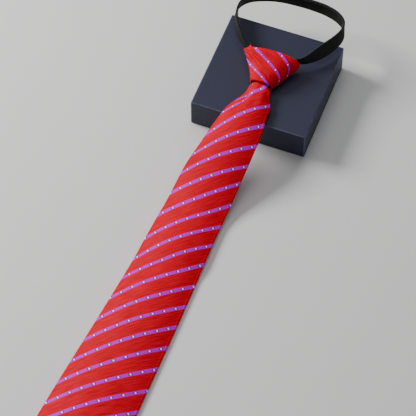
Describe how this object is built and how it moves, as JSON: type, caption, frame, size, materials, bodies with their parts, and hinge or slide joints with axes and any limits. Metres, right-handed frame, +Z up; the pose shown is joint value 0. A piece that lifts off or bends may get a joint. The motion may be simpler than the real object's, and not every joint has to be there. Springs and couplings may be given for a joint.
{
  "type": "zipper tie on a display box",
  "caption": "Pre-tied zipper necktie with diagonal dotted stripes, its knot and neck loop resting on a closed gift box, blade falling to the floor.",
  "frame": {"origin": "on the floor, under the middle of the whole", "axes": "+Y along the tie from the point of its blade to its knot, +X to the right seen from the blade's point, +Z up"},
  "size_m": [0.1136, 0.54, 0.0522],
  "materials": {
    "striped_cloth": "jacquard weave with a soft sheen, diagonal stripes with small dots",
    "zip_tape": "matt woven zip tape",
    "zip_metal": "satin",
    "box_card": "paper-covered card, fine matt grain"
  },
  "bodies": {
    "root": {"front_blade": "striped_cloth", "knot_wrap": "striped_cloth", "knot_fold": "striped_cloth", "neck_band": "zip_tape", "zip_tail": "zip_tape", "zip_slider": "zip_metal", "display_box": "box_card"}
  },
  "joints": []
}
